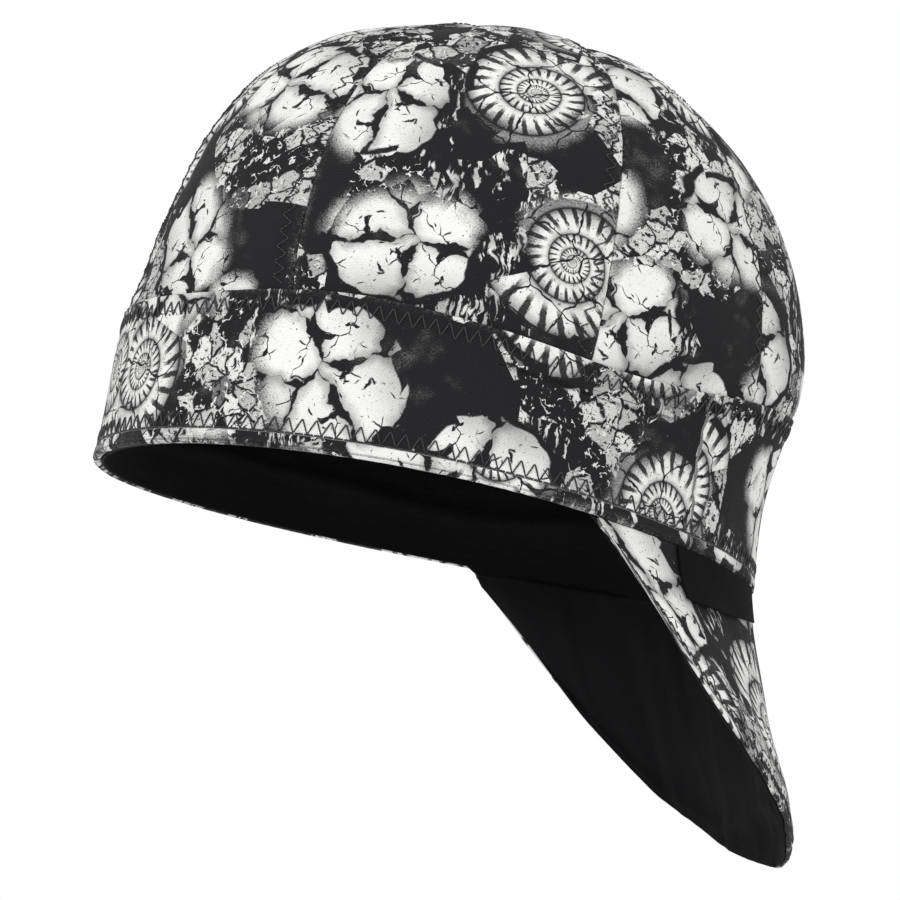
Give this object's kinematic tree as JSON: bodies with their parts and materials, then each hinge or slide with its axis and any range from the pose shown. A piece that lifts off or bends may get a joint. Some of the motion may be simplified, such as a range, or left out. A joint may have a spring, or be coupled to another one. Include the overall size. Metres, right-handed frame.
{
  "type": "welding cap",
  "caption": "Cloth welding cap with a gored crown, a folded headband, a black lining and a long soft bill that hangs behind the neck.",
  "frame": {"origin": "middle of the head opening, in the plane of the rim, where a head carries the cap", "axes": "+Z out of the top of the crown, -Y towards the brow, +Y towards the bill, +X towards the wearer's left when the bill hangs behind"},
  "size_m": [0.1792, 0.228, 0.2287],
  "materials": {
    "print_cloth": "matte cotton, black and bone-white all-over print",
    "lining_cloth": "matte black cotton",
    "label_cloth": "woven black tape, plain"
  },
  "bodies": {
    "root": {"crown_gore_1": "print_cloth", "crown_gore_2": "print_cloth", "crown_gore_3": "print_cloth", "crown_gore_4": "print_cloth", "crown_gore_5": "print_cloth", "crown_gore_6": "print_cloth", "crown_gore_7": "print_cloth", "crown_gore_8": "print_cloth", "headband": "print_cloth", "cap_lining": "lining_cloth", "bill_shell": "print_cloth", "bill_lining": "lining_cloth", "woven_label": "label_cloth"}
  },
  "joints": []
}
